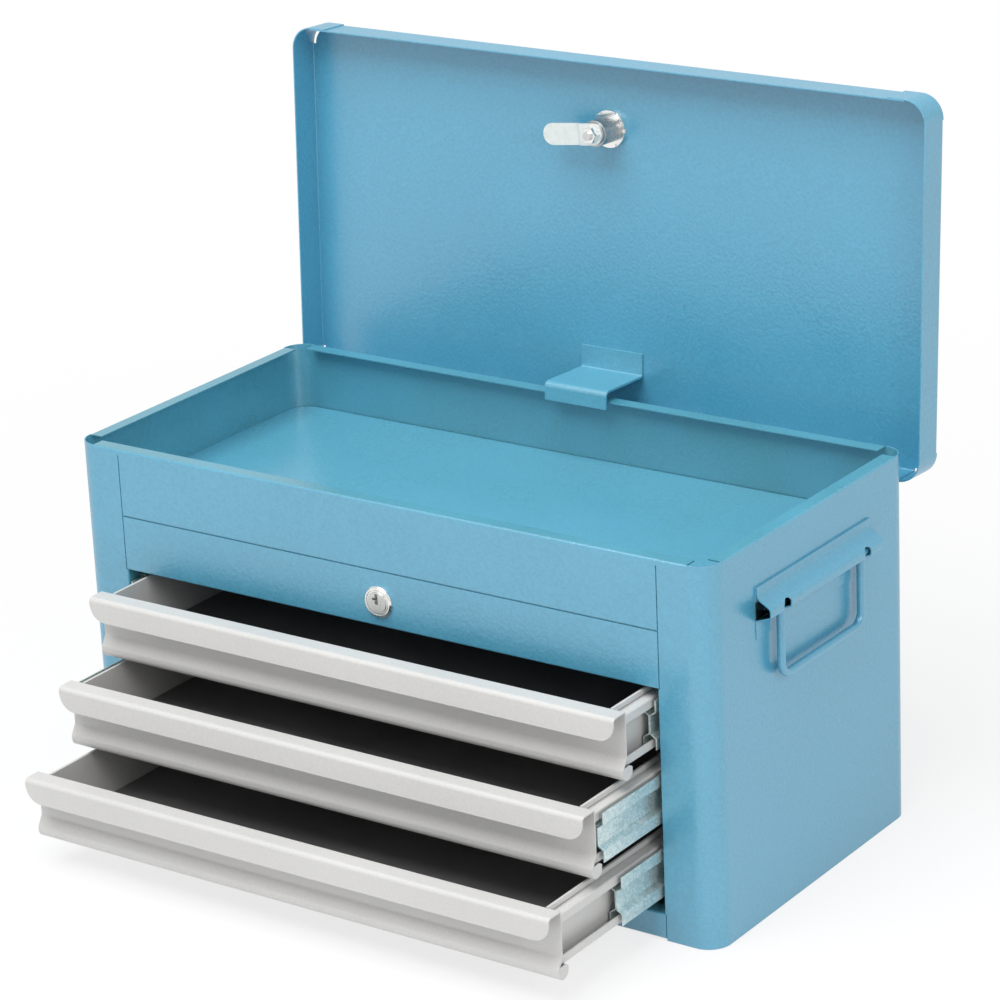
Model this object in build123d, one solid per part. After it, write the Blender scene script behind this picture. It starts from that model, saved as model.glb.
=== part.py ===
import math
import os

from build123d import *

# Portable tool box with three drawers: a folded sheet cabinet, an open tray under a hinged lid,
# a lock rail, drawers on telescopic slides and a folding bail on each side.
# Frame: X across the box (right is +X), the front faces -Y, Z up, origin at the centre of the base.
# Every piece is drawn with the lid shut and the drawers in, then moved to the stored pose.

# ---------------------------------------------------------------- cabinet, mm
BODY_WIDTH = 500.0
BODY_DEPTH = 245.3
SHEET = 0.9
CORNER_RADIUS = 16.0
STILE_WIDTH = 37.5
SEAM_GAP = 0.7
RAIL_SEAM = 1.1
LAP_WIDTH = 12.0
RIM_WIDTH = 10.0
BACK_RIM_WIDTH = 10.7
RIM_FOLD = 4.0
FOLD_RADIUS = 1.5
RETURN_BEND = 1.2
RETURN_DEPTH = 12.0
STILE_RETURN_STEP = 1.1
TRAY_DEPTH = 47.0
TRAY_SKIRT = 6.0
FASCIA_LAP = 7.0
LOCK_RAIL_HEIGHT = 38.5
OPENING_BOTTOM = 18.1
PAN_SETBACK = 4.0
PAN_FLANGE = 12.0
SLIDE_PANEL_RISE = 19.0
SLIDE_PANEL_FLANGE = 14.0

# ---------------------------------------------------------------- drawers
DRAWER_NAMES = ("lower", "middle", "upper")
DRAWER_PITCH = 50.6
LOWEST_DRAWER_TOP = 66.0
DRAWER_TOP_GAP = 3.8
DRAWER_OPEN = {"lower": 109.0, "middle": 69.0, "upper": 32.0}
SLIDE_OPEN = {"lower": 46.0, "middle": 64.0, "upper": 2.0}
DRAWER_FRONT_GAP = 3.4
DRAWER_SHEET = 0.9
DRAWER_BACK_GAP = 27.3
DRAWER_SIDE_DROP = 38.1
GRIP_DEPTH = 13.0
GRIP_DROP = 16.5
GRIP_END_RADIUS = 12.0
GRIP_EDGE_RADIUS = 3.0
FRONT_STRAIGHT = 31.0
FRONT_DROP = 46.0
BEAD_WIDTH = 10.8
BEAD_PROUD = 4.3
BEAD_RADIUS = 5.3
BEAD_BACK_TOP = 38.4
BEAD_END_TOP = 37.0
BEAD_END_RADIUS = 3.0
BACK_TOP_DROP = 3.0
LINER_THICKNESS = 1.0
LINER_GAP = 0.4

# ---------------------------------------------------------------- slides
SLIDE_BAY = 15.3
CHANNEL_WIDTH = 8.5
CHANNEL_DROP = 4.0
HEM_DEPTH = 3.0
UPPER_LIP = 10.3
LOWER_LIP = 6.1
RUNNING_GAP = 0.3
SLIDE_SHEET = 0.7
SLIDE_WEB_OFFSET = 7.5
SLIDE_ARM = 4.9
SLIDE_WEB_TOP = 15.3
SLIDE_WEB_BOTTOM = 27.4
SLIDE_ARM_RISE = 2.6
SLIDE_BEND = 1.0
SLIDE_SHORTFALL = 28.0
SLIDE_SETBACK = 2.0
RUNNER_SHEET = 0.9
RUNNER_TOP_DROP = 3.3
RUNNER_LIP_GAP = 1.2
RUNNER_SHORTFALL = 13.0

# ---------------------------------------------------------------- lid and hinge
LID_SIDE_OVERHANG = 3.3
LID_FRONT_OVERHANG = 4.6
LID_SKIRT = 23.7
LID_REAR_OVERHANG = 4.7
LID_REST_GAP = 0.4
LID_OPEN_ANGLE = 92.6
LID_FOLD_TOP = 6.0
LID_SLIT = 2.4
LID_TONGUE = 28.0
LID_STEP = 0.7
HINGE_OFFSET = 4.4
HINGE_DROP = 26.9
HINGE_INSET = 34.0
HINGE_KNUCKLES = 12
KNUCKLE_RADIUS = 2.5
PIN_RADIUS = 1.45
PIN_CLEARANCE = 0.05
PIN_PROUD = 1.0
KNUCKLE_GAP = 0.3
LEAF_SHEET = 1.0
BODY_LEAF_HEIGHT = 19.0
LEAF_RISE = 3.5
LID_LEAF_TOP = 16.5
LEAF_CLEAR = 3.4

# ---------------------------------------------------------------- lid stop hook
HOOK_WIDTH = 50.0
HOOK_SHEET = 1.5
HOOK_CLEARANCE = 0.45
HOOK_FLANGE = 17.0
HOOK_LIP = 11.4
STOP_GAP = 0.3

# ---------------------------------------------------------------- locks
LOCK_BEZEL_RADIUS = 10.8
LOCK_BEZEL_RISE = 2.2
LOCK_BODY_RADIUS = 9.0
LOCK_BODY_LENGTH = 21.0
LOCK_HOLE_CLEARANCE = 0.1
BEZEL_GROOVE = (8.0, 8.7, 0.8)
PLUG_RADIUS = 7.2
PLUG_CLEARANCE = 0.05
PLUG_PROUD = 2.9
PLUG_TAIL_RADIUS = 3.0
CAM_GAP = 0.8
CAM_THICKNESS = 2.0
CAM_NUT_FLATS = 10.0
CAM_NUT_HEIGHT = 5.4
TAIL_PROUD = 2.0
KEY_SLOT = (2.4, 7.4, 4.0)
KEY_NOTCH = (4.2, 1.7)
LOCK_NUT_FLATS = 22.0
LOCK_NUT_HEIGHT = 3.0
RING_NUT_RADIUS = 12.9
RING_NUT_HEIGHT = 3.2
RING_NUT_NOTCHES = 6
RING_NUT_NOTCH = (2.2, 1.5)
DRAWER_LOCK_RISE = 17.3
DRAWER_CAM_LENGTH = 30.0
DRAWER_CAM_WIDTH = 14.0
LID_LOCK_INSET = 49.6
LID_CAM_LENGTH = 41.4
LID_CAM_WIDTH = 15.0
CAM_CRANK = 2.0
CAM_CRANK_START = 9.5
CAM_CRANK_RUN = 3.0
CAM_BEND = 1.5
LID_CAM_TILT = 6.4

# ---------------------------------------------------------------- handles
HANDLE_LENGTH = 139.6
HANDLE_DROP = 29.7
BACKING_HEIGHT = 34.2
BACKING_SHEET = 0.6
HOOD_SHEET = 0.9
HOOD_FLANGE = 6.8
HOOD_STANDOFF = 11.5
HOOD_SLOPE_DROP = 5.8
HOOD_LIP_HEIGHT = 6.2
HOOD_FLOOR_DROP = 3.7
HOOD_BENDS = (5.0, 4.0, 2.0)
BAIL_WIRE_RADIUS = 2.75
BAIL_LEG_SPACING = 99.2
BAIL_STANDOFF = 6.0
BAIL_DROP = 48.2
BAIL_CORNER_RADIUS = 9.0
BAIL_ELBOW_RADIUS = 4.5
BAIL_TRUNNION = 10.0
BAIL_SLOT_WIDTH = 9.2
BAIL_SLOT_RISE = 0.2

# ---------------------------------------------------------------- derived places
OPENING_TOP = LOWEST_DRAWER_TOP + (len(DRAWER_NAMES) - 1) * DRAWER_PITCH + DRAWER_TOP_GAP
TRAY_FLOOR = OPENING_TOP + LOCK_RAIL_HEIGHT
BODY_HEIGHT = TRAY_FLOOR + TRAY_DEPTH
HALF = BODY_WIDTH / 2
FRONT = -BODY_DEPTH / 2
BACK = BODY_DEPTH / 2
SEAM_X = HALF - STILE_WIDTH
RETURN_FACE = SEAM_X - STILE_RETURN_STEP + SHEET
OPENING_HALF = RETURN_FACE - SHEET
RAIL_HALF = SEAM_X - SEAM_GAP / 2
DRAWER_HALF = OPENING_HALF - DRAWER_FRONT_GAP
DRAWER_DEPTH = BODY_DEPTH - DRAWER_BACK_GAP
DRAWER_WALL = RETURN_FACE - SLIDE_BAY
CHANNEL_FACE = DRAWER_WALL + CHANNEL_WIDTH
SLIDE_WEB = DRAWER_WALL + SLIDE_WEB_OFFSET
LID_TOP = BODY_HEIGHT + LID_REST_GAP + SHEET
LID_REAR = BACK + LID_REAR_OVERHANG
LID_FRONT = FRONT - LID_FRONT_OVERHANG
LID_HALF = HALF + LID_SIDE_OVERHANG
LID_LOCK_Y = LID_FRONT + LID_LOCK_INSET
HINGE_Y = BACK + HINGE_OFFSET
HINGE_HEIGHT = BODY_HEIGHT - HINGE_DROP
HINGE_LENGTH = BODY_WIDTH - 2 * HINGE_INSET
HINGE_AXIS = Axis((0, HINGE_Y, HINGE_HEIGHT), (1, 0, 0))
CAM_SEAT = LOCK_BODY_LENGTH + CAM_GAP
HANDLE_TOP = BODY_HEIGHT - HANDLE_DROP
HOOD_LIP_TOP = HANDLE_TOP - HOOD_FLANGE - HOOD_SLOPE_DROP
HOOD_LIP_BOTTOM = HOOD_LIP_TOP - HOOD_LIP_HEIGHT
BAIL_X = HALF + BAIL_STANDOFF


# ---------------------------------------------------------------- sheet metal helpers
def right_of(start, end):
    """Unit vector to the right of the way from start to end."""
    way = (end - start).normalized()
    return Vector(way.Y, -way.X)


def thickened(points, thickness):
    """The corner points of a path's other side, one thickness to its right."""
    moved = []
    for place, point in enumerate(points):
        sides = []
        if place > 0:
            sides.append(right_of(points[place - 1], point))
        if place < len(points) - 1:
            sides.append(right_of(point, points[place + 1]))
        mitre = sides[0] if len(sides) == 1 else sides[0] + sides[1]
        moved.append(point + mitre * (len(sides) * thickness / mitre.dot(mitre)))
    return moved


def sheet_face(path, bends, thickness):
    """Section of a bent sheet. The path is one face of it and the metal lies to its right."""
    points = [Vector(*point) for point in path]
    corners = len(points) - 2
    bends = [bends] * corners if isinstance(bends, float) else list(bends)
    other_bends = []
    for place, bend in enumerate(bends):
        before = points[place + 1] - points[place]
        after = points[place + 2] - points[place + 1]
        turns_left = before.cross(after).Z > 0
        other_bends.append(bend + thickness if turns_left else max(bend - thickness, 0))
    outline = points + thickened(points, thickness)[::-1]
    radii = [0] + bends + [0, 0] + other_bends[::-1] + [0]
    return make_face(FilletPolyline(*outline, radius=radii, close=True))


def along_x(face, low, high):
    """Extrude a section drawn in (Y, Z) from X = low to X = high."""
    return extrude(Plane((low, 0, 0), (0, 1, 0), (1, 0, 0)) * face, amount=high - low)


def along_y(face, low, high):
    """Extrude a section drawn in (X, Z) from Y = low to Y = high."""
    return extrude(Plane((0, high, 0), (1, 0, 0), (0, -1, 0)) * face, amount=high - low)


def along_z(face, low, high):
    """Extrude a section drawn in (X, Y) from Z = low to Z = high."""
    return extrude(Plane((0, 0, low)) * face, amount=high - low)


def block(x, y, z):
    """Box between three (low, high) pairs."""
    low, high = (Vector(*ends) for ends in zip(x, y, z))
    size = high - low
    return Pos(*((low + high) / 2)) * Box(*size)


def rounded(x, y, radius):
    """Rounded rectangle between two (low, high) pairs."""
    centre = Pos((x[0] + x[1]) / 2, (y[0] + y[1]) / 2)
    return centre * RectangleRounded(x[1] - x[0], y[1] - y[0], radius)


def left_of_box(piece):
    """The same piece on the other side of the box."""
    return mirror(piece, about=Plane.YZ)


# ---------------------------------------------------------------- cabinet
def rim_section(outer, inner, top, bend):
    """Rim folded inwards from a wall, as a path over the wall's outer face and the rim's top."""
    lower = top - RIM_FOLD
    if inner > outer:
        return sheet_face([(outer, lower), (outer, top), (inner, top)], bend, SHEET)
    return sheet_face([(inner, top), (outer, top), (outer, lower)], bend, SHEET)


def side_wrap():
    """Side wall with both rounded corners, its stiles and its three lengths of rim."""
    edge = SEAM_X + SEAM_GAP / 2
    plan = [(edge, BACK), (HALF, BACK), (HALF, FRONT), (edge, FRONT)]
    section = sheet_face(plan, CORNER_RADIUS, SHEET)
    wrap = along_z(section, 0, BODY_HEIGHT - RIM_FOLD)
    corner = HALF - CORNER_RADIUS
    straight = BACK - CORNER_RADIUS
    crown = along_z(section, BODY_HEIGHT - RIM_FOLD, BODY_HEIGHT)
    wrap += crown & block((corner, HALF), (FRONT, -straight), (0, BODY_HEIGHT))
    wrap += crown & block((corner, HALF), (straight, BACK), (0, BODY_HEIGHT))
    side_rim = rim_section(HALF, HALF - RIM_WIDTH, BODY_HEIGHT, FOLD_RADIUS)
    wrap += along_y(side_rim, -straight, straight)
    front_rim = rim_section(FRONT, FRONT + RIM_WIDTH, BODY_HEIGHT, FOLD_RADIUS)
    wrap += along_x(front_rim, RAIL_HALF, corner)
    back_rim = rim_section(BACK, BACK - BACK_RIM_WIDTH, BODY_HEIGHT, FOLD_RADIUS)
    wrap += along_x(back_rim, RAIL_HALF, corner)
    turned_in = [(edge + LAP_WIDTH, FRONT), (OPENING_HALF, FRONT)]
    turned_in.append((OPENING_HALF, FRONT + RETURN_DEPTH))
    stile_return = sheet_face(turned_in, RETURN_BEND, SHEET)
    return wrap + along_z(stile_return, OPENING_BOTTOM, OPENING_TOP)


def end_laps(low, high):
    """Tabs that lap behind both stiles, where a front rail is welded to them."""
    behind = (FRONT + SHEET, FRONT + 2 * SHEET)
    lap = block((RAIL_HALF - LAP_WIDTH, SEAM_X + LAP_WIDTH), behind, (low, high))
    return lap + left_of_box(lap)


def upper_fascia():
    """Front of the tray, with its rim above and a lap behind the lock rail below."""
    foot = TRAY_FLOOR + RAIL_SEAM / 2
    rim = FRONT + RIM_WIDTH
    path = [(FRONT, foot), (FRONT, BODY_HEIGHT), (rim, BODY_HEIGHT)]
    fascia = along_x(sheet_face(path, FOLD_RADIUS, SHEET), -RAIL_HALF, RAIL_HALF)
    fascia += end_laps(TRAY_FLOOR - FASCIA_LAP, BODY_HEIGHT - RIM_FOLD)
    behind = (FRONT + SHEET, FRONT + 2 * SHEET)
    lap = (TRAY_FLOOR - FASCIA_LAP, TRAY_FLOOR + FASCIA_LAP)
    return fascia + block((-RAIL_HALF, RAIL_HALF), behind, lap)


def lock_rail():
    """Rail above the drawers, with a return along the opening and a hole for the lock."""
    top = TRAY_FLOOR - RAIL_SEAM / 2
    path = [(FRONT + RETURN_DEPTH, OPENING_TOP), (FRONT, OPENING_TOP), (FRONT, top)]
    rail = along_x(sheet_face(path, RETURN_BEND, SHEET), -RAIL_HALF, RAIL_HALF)
    rail += end_laps(OPENING_TOP + SHEET, TRAY_FLOOR - FASCIA_LAP - SEAM_GAP)
    hole = Cylinder(LOCK_BODY_RADIUS + LOCK_HOLE_CLEARANCE, RETURN_DEPTH, rotation=(90, 0, 0))
    return rail - Pos(0, FRONT, OPENING_TOP + DRAWER_LOCK_RISE) * hole


def front_bottom_rail():
    """Channel below the drawers, its lower return resting on the floor pan."""
    inner = FRONT + RETURN_DEPTH
    path = [(inner, SHEET), (FRONT, SHEET), (FRONT, OPENING_BOTTOM), (inner, OPENING_BOTTOM)]
    rail = along_x(sheet_face(path, RETURN_BEND, SHEET), -RAIL_HALF, RAIL_HALF)
    return rail + end_laps(2 * SHEET, OPENING_BOTTOM - SHEET)


def back_panel():
    """Rear wall with its rim: lapped inside the rear stiles, and flush with them at the tray."""
    rim = BACK - BACK_RIM_WIDTH
    path = [(rim, BODY_HEIGHT), (BACK, BODY_HEIGHT), (BACK, 0)]
    panel = along_x(sheet_face(path, FOLD_RADIUS, SHEET), -RAIL_HALF, RAIL_HALF)
    inside = (BACK - 2 * SHEET, BACK - SHEET)
    edge = block((RAIL_HALF - LAP_WIDTH, SEAM_X + LAP_WIDTH), inside, (2 * SHEET, TRAY_FLOOR - SHEET))
    edge += block((RAIL_HALF - LAP_WIDTH, SEAM_X + SEAM_GAP / 2), (BACK - SHEET, BACK),
                  (TRAY_FLOOR - 2 * SHEET, BODY_HEIGHT - RIM_FOLD))
    return panel + edge + left_of_box(edge)


def tray_floor():
    """Floor of the tray with a turned-down edge inside the walls."""
    wide = HALF - SHEET
    deep = BACK - 2 * SHEET
    radius = CORNER_RADIUS - SHEET
    outer = rounded((-wide, wide), (-deep, deep), radius)
    wide_in = wide - SHEET
    deep_in = deep - SHEET
    inner = rounded((-wide_in, wide_in), (-deep_in, deep_in), radius - SHEET)
    floor = along_z(outer, TRAY_FLOOR - SHEET, TRAY_FLOOR)
    return floor + along_z(outer - inner, TRAY_FLOOR - SHEET - TRAY_SKIRT, TRAY_FLOOR - SHEET)


def bottom_pan():
    """Floor of the cabinet, with flanges turned up along both side walls."""
    wide = HALF - SHEET
    radius = CORNER_RADIUS - SHEET
    floor = rounded((-wide, wide), (FRONT + PAN_SETBACK, BACK - SHEET), radius)
    pan = along_z(floor, 0, SHEET)
    straight = BACK - 2 * CORNER_RADIUS
    flange = block((wide - SHEET, wide), (-straight, straight), (0, PAN_FLANGE))
    return pan + flange + left_of_box(flange)


def slide_panel():
    """Inner wall behind the stile that carries the slides, welded to stile and back."""
    start = FRONT + 2 * SHEET
    end = BACK - 2 * SHEET
    outer = RETURN_FACE + SLIDE_PANEL_FLANGE
    path = [(RETURN_FACE, start), (RETURN_FACE, end), (outer, end)]
    panel = sheet_face(path, RETURN_BEND, SHEET)
    return along_z(panel, SHEET, OPENING_TOP + SLIDE_PANEL_RISE)


# ---------------------------------------------------------------- slides
def cabinet_runner(top):
    """Fixed channel on the slide panel, open towards the drawer."""
    lip = CHANNEL_FACE + RUNNER_LIP_GAP
    high = top - RUNNER_TOP_DROP
    low = top - DRAWER_SIDE_DROP - RUNNING_GAP - RUNNER_SHEET + DRAWER_SHEET - RUNNING_GAP
    lip_end = top - UPPER_LIP + DRAWER_SHEET
    foot_end = top - DRAWER_SIDE_DROP + LOWER_LIP
    path = [(lip, lip_end), (lip, high), (RETURN_FACE, high), (RETURN_FACE, low), (lip, low)]
    path.append((lip, foot_end))
    section = sheet_face(path, RETURN_BEND, RUNNER_SHEET)
    start = FRONT + RETURN_DEPTH + RUNNING_GAP
    return along_y(section, start, start + DRAWER_DEPTH - RUNNER_SHORTFALL)


def slide_member(top):
    """Moving member between drawer and cabinet: two channels back to back."""
    drawer_high = top - CHANNEL_DROP - DRAWER_SHEET - RUNNING_GAP
    drawer_low = top - DRAWER_SIDE_DROP + DRAWER_SHEET + RUNNING_GAP
    cabinet_high = top - RUNNER_TOP_DROP - RUNNER_SHEET - RUNNING_GAP
    cabinet_low = drawer_low - 2 * RUNNING_GAP
    web_top = top - SLIDE_WEB_TOP
    web_low = top - SLIDE_WEB_BOTTOM
    rise = SLIDE_ARM_RISE
    near = SLIDE_WEB + SLIDE_SHEET
    far = SLIDE_WEB + SLIDE_ARM
    cabinet_side = [(far, cabinet_high), (far, web_top + rise), (near, web_top)]
    cabinet_side += [(near, web_low), (far, web_low - rise), (far, cabinet_low)]
    near = SLIDE_WEB - SLIDE_SHEET
    far = SLIDE_WEB - SLIDE_ARM
    drawer_side = [(far, drawer_low), (far, web_low - rise), (near, web_low)]
    drawer_side += [(near, web_top), (far, web_top + rise), (far, drawer_high)]
    section = sheet_face(cabinet_side, SLIDE_BEND, SLIDE_SHEET)
    section += sheet_face(drawer_side, SLIDE_BEND, SLIDE_SHEET)
    web = Rectangle(SLIDE_SHEET, web_top - web_low)
    section += Pos(SLIDE_WEB, (web_top + web_low) / 2) * web
    start = FRONT + SLIDE_SETBACK
    return along_y(section, start, start + DRAWER_DEPTH - SLIDE_SHORTFALL)


# ---------------------------------------------------------------- drawers
def drawer_box(top):
    """Drawer body: floor, hemmed sides with a slide channel outside each, and a back."""
    floor_z = top - DRAWER_SIDE_DROP
    inside = floor_z + DRAWER_SHEET
    lip_end = top - UPPER_LIP
    channel_top = top - CHANNEL_DROP
    channel_path = [(DRAWER_WALL, channel_top), (CHANNEL_FACE, channel_top), (CHANNEL_FACE, lip_end)]
    channel = sheet_face(channel_path, RETURN_BEND, DRAWER_SHEET)
    lip_top = floor_z + LOWER_LIP
    floor_path = [(CHANNEL_FACE, lip_top), (CHANNEL_FACE, floor_z)]
    floor_path += [(-CHANNEL_FACE, floor_z), (-CHANNEL_FACE, lip_top)]
    floor = sheet_face(floor_path, RETURN_BEND, DRAWER_SHEET)
    start = FRONT + DRAWER_SHEET
    end = FRONT + DRAWER_DEPTH
    wall = along_y(channel, start, end)
    wall += block((DRAWER_WALL, DRAWER_WALL + DRAWER_SHEET), (start, end), (inside, top))
    wall += block((DRAWER_WALL, DRAWER_WALL + 2 * DRAWER_SHEET), (start, end),
                  (top - HEM_DEPTH, top))
    box = along_y(floor, start, end) + wall + left_of_box(wall)
    across = (-DRAWER_WALL, DRAWER_WALL)
    return box + block(across, (end - DRAWER_SHEET, end), (inside, top - BACK_TOP_DROP))


def bead_end(top):
    """Outline of the closed end of the rolled bead along the foot of a drawer front."""
    front = FRONT - BEAD_PROUD
    rear = front + BEAD_WIDTH
    low = top - FRONT_DROP
    down_flare = (BEAD_END_TOP - FRONT_STRAIGHT) / (BEAD_BACK_TOP - FRONT_STRAIGHT)
    in_plate = FRONT + DRAWER_SHEET / 2 - BEAD_PROUD * down_flare
    points = [(in_plate, top - BEAD_END_TOP), (front, top - BEAD_BACK_TOP - DRAWER_SHEET)]
    points += [(front, low), (rear, low), (rear, top - BEAD_END_TOP)]
    radii = [0, 0, BEAD_RADIUS, BEAD_RADIUS, BEAD_END_RADIUS]
    return make_face(FilletPolyline(*points, radius=radii, close=True))


def grip_corner(top):
    """What is cut off the grip's lower corner at the right-hand end."""
    inner = DRAWER_HALF - GRIP_END_RADIUS
    centre_z = top - GRIP_DROP + GRIP_END_RADIUS
    deep = (FRONT - 2 * GRIP_DEPTH, FRONT - GRIP_DEPTH / 2)
    corner = block((inner, DRAWER_HALF), deep, (top - GRIP_DROP, centre_z))
    round_end = Cylinder(GRIP_END_RADIUS, 4 * GRIP_DEPTH, rotation=(90, 0, 0))
    return corner - Pos(inner, FRONT, centre_z) * round_end


def drawer_front(top):
    """Front of one strip: hanging grip, top, plate, flared foot and rolled bead."""
    thick = DRAWER_SHEET
    grip = FRONT - GRIP_DEPTH
    rear = FRONT + thick
    foot_front = FRONT - BEAD_PROUD + thick
    foot_rear = foot_front + BEAD_WIDTH - 2 * thick
    low = top - FRONT_DROP + thick
    path = [(grip, top - GRIP_DROP), (grip, top), (rear, top), (rear, top - FRONT_STRAIGHT)]
    path += [(foot_front, top - BEAD_BACK_TOP), (foot_front, low), (foot_rear, low)]
    path.append((foot_rear, top - BEAD_BACK_TOP))
    roll = BEAD_RADIUS - thick
    bends = [GRIP_EDGE_RADIUS, RETURN_BEND, roll, roll / 2, roll, roll]
    front = along_x(sheet_face(path, bends, thick), -DRAWER_HALF, DRAWER_HALF)
    end = along_x(bead_end(top), DRAWER_HALF - thick, DRAWER_HALF)
    front += end + left_of_box(end)
    corner = grip_corner(top)
    return front - corner - left_of_box(corner)


def drawer_liner(top):
    """Thin black mat on the drawer's floor."""
    floor = top - DRAWER_SIDE_DROP + DRAWER_SHEET
    wide = DRAWER_WALL - LINER_GAP
    start = FRONT + DRAWER_SHEET + LINER_GAP
    end = FRONT + DRAWER_DEPTH - DRAWER_SHEET - LINER_GAP
    return block((-wide, wide), (start, end), (floor, floor + LINER_THICKNESS))


# ---------------------------------------------------------------- hinge
def knuckles(first):
    """(low, high) X range of every second knuckle, starting at number `first`."""
    pitch = HINGE_LENGTH / HINGE_KNUCKLES
    ranges = []
    for number in range(first, HINGE_KNUCKLES, 2):
        low = -HINGE_LENGTH / 2 + number * pitch
        ranges.append((low + KNUCKLE_GAP / 2, low + pitch - KNUCKLE_GAP / 2))
    return ranges


def hinge_leaf(leaf, tab, first):
    """One leaf with its knuckles round the pin, the tabs joining them to the leaf."""
    at_pin = Pos(HINGE_Y, HINGE_HEIGHT)
    for low, high in knuckles(first):
        leaf += along_x(tab, low, high)
        leaf += along_x(at_pin * Circle(KNUCKLE_RADIUS), low, high)
    bore = at_pin * Circle(PIN_RADIUS + PIN_CLEARANCE)
    return leaf - along_x(bore, -HINGE_LENGTH, HINGE_LENGTH)


def hinge_body_leaf():
    """Leaf on the outside of the back panel, its tabs leaning out to the pin."""
    top = HINGE_HEIGHT - LEAF_CLEAR - LEAF_RISE
    low = top - BODY_LEAF_HEIGHT
    half = HINGE_LENGTH / 2
    plate = block((-half, half), (BACK, BACK + LEAF_SHEET), (low, top))
    reach = KNUCKLE_RADIUS / 2
    path = [(BACK, top - LEAF_RISE), (BACK, top), (HINGE_Y - reach, HINGE_HEIGHT - reach)]
    return hinge_leaf(plate, sheet_face(path, RETURN_BEND, LEAF_SHEET), 0)


def hinge_lid_leaf():
    """Leaf on the inside of the lid's rear skirt, drawn with the lid shut."""
    rear = LID_REAR - LID_STEP - SHEET
    half = HINGE_LENGTH / 2
    across = (rear - LEAF_SHEET, rear)
    low = HINGE_HEIGHT + LEAF_CLEAR
    plate = block((-half, half), across, (low, HINGE_HEIGHT + LID_LEAF_TOP))
    tab_low = HINGE_HEIGHT + (KNUCKLE_RADIUS + PIN_RADIUS) / 3
    tab = Pos(rear - LEAF_SHEET / 2, (low + tab_low) / 2) * Rectangle(LEAF_SHEET, low - tab_low)
    return hinge_leaf(plate, tab, 1)


def hinge_pin():
    """Pin through every knuckle, a little longer than the leaves."""
    half = HINGE_LENGTH / 2 + PIN_PROUD
    return along_x(Pos(HINGE_Y, HINGE_HEIGHT) * Circle(PIN_RADIUS), -half, half)


# ---------------------------------------------------------------- lid
def lid_corners(low, high):
    """The four tongues that wrap the lid's corners and lie over the front and rear skirts."""
    half = LID_HALF
    flat = half - LID_TONGUE
    radius = CORNER_RADIUS
    outer = rounded((-half, half), (LID_FRONT, LID_REAR), radius)
    inner = rounded((SHEET - half, half - SHEET), (LID_FRONT + SHEET, LID_REAR - SHEET),
                    radius - SHEET)
    ring = along_z(outer - inner, low, high)
    across = block((-flat, flat), (LID_FRONT, LID_REAR), (low, high))
    along = block((-half, half), (LID_FRONT + radius, LID_REAR - radius), (low, high))
    return ring - across - along


def lid_shell():
    """Lid from one sheet: panel, four skirts and the tongues of the side skirts."""
    half = LID_HALF
    low = LID_TOP - LID_SKIRT
    inset = SHEET + LID_SLIT
    plan = rounded((inset - half, half - inset), (LID_FRONT + inset, LID_REAR - inset),
                   CORNER_RADIUS - inset)
    lid = along_z(plan, LID_TOP - SHEET, LID_TOP)
    side_path = [(half - LID_FOLD_TOP, LID_TOP), (half, LID_TOP), (half, low)]
    side = along_y(sheet_face(side_path, FOLD_RADIUS, SHEET),
                   LID_FRONT + CORNER_RADIUS, LID_REAR - CORNER_RADIUS)
    lid += side + left_of_box(side)
    rear = LID_REAR - LID_STEP
    front = LID_FRONT + LID_STEP
    rear_path = [(rear - LID_FOLD_TOP, LID_TOP), (rear, LID_TOP), (rear, low)]
    front_path = [(front, low), (front, LID_TOP), (front + LID_FOLD_TOP, LID_TOP)]
    straight = half - CORNER_RADIUS
    for path in (rear_path, front_path):
        lid += along_x(sheet_face(path, FOLD_RADIUS, SHEET), -straight, straight)
    lid += lid_corners(low, LID_TOP)
    hole = Cylinder(LOCK_BODY_RADIUS + LOCK_HOLE_CLEARANCE, LID_SKIRT)
    return lid - Pos(0, LID_LOCK_Y, LID_TOP) * hole


def stop_depth():
    """Depth of the hook's lip below the lid's top, so that it meets the back rim at the stop."""
    tilt = math.radians(LID_OPEN_ANGLE)
    rim_y = HINGE_OFFSET + BACK_RIM_WIDTH
    reach = rim_y * math.sin(tilt) - HINGE_DROP * math.cos(tilt)
    return LID_TOP - HINGE_HEIGHT + reach + STOP_GAP


def shelf_y():
    """Front face of the hook's shelf, which passes the back rim's edge as the lid swings."""
    rim_swing = math.hypot(HINGE_OFFSET + BACK_RIM_WIDTH, HINGE_DROP)
    return HINGE_Y - rim_swing - HOOK_CLEARANCE - HOOK_SHEET


def lid_stop_hook():
    """Bracket under the lid whose lip catches the back rim, drawn with the lid shut."""
    seat = LID_TOP - SHEET
    shelf = shelf_y()
    low = LID_TOP - stop_depth() - HOOK_SHEET
    lip_end = shelf + HOOK_LIP
    path = [(lip_end, low), (shelf, low), (shelf, seat), (shelf - HOOK_FLANGE, seat)]
    section = sheet_face(path[::-1], (HOOK_SHEET + SHEET, HOOK_SHEET + SHEET), HOOK_SHEET)
    return along_x(section, -HOOK_WIDTH / 2, HOOK_WIDTH / 2)


# ---------------------------------------------------------------- locks
def turned(points):
    """Solid of revolution about Z from a half section drawn as (radius, z)."""
    return revolve(Plane.XZ * make_face(Polyline(*points, close=True)), Axis.Z)


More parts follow.
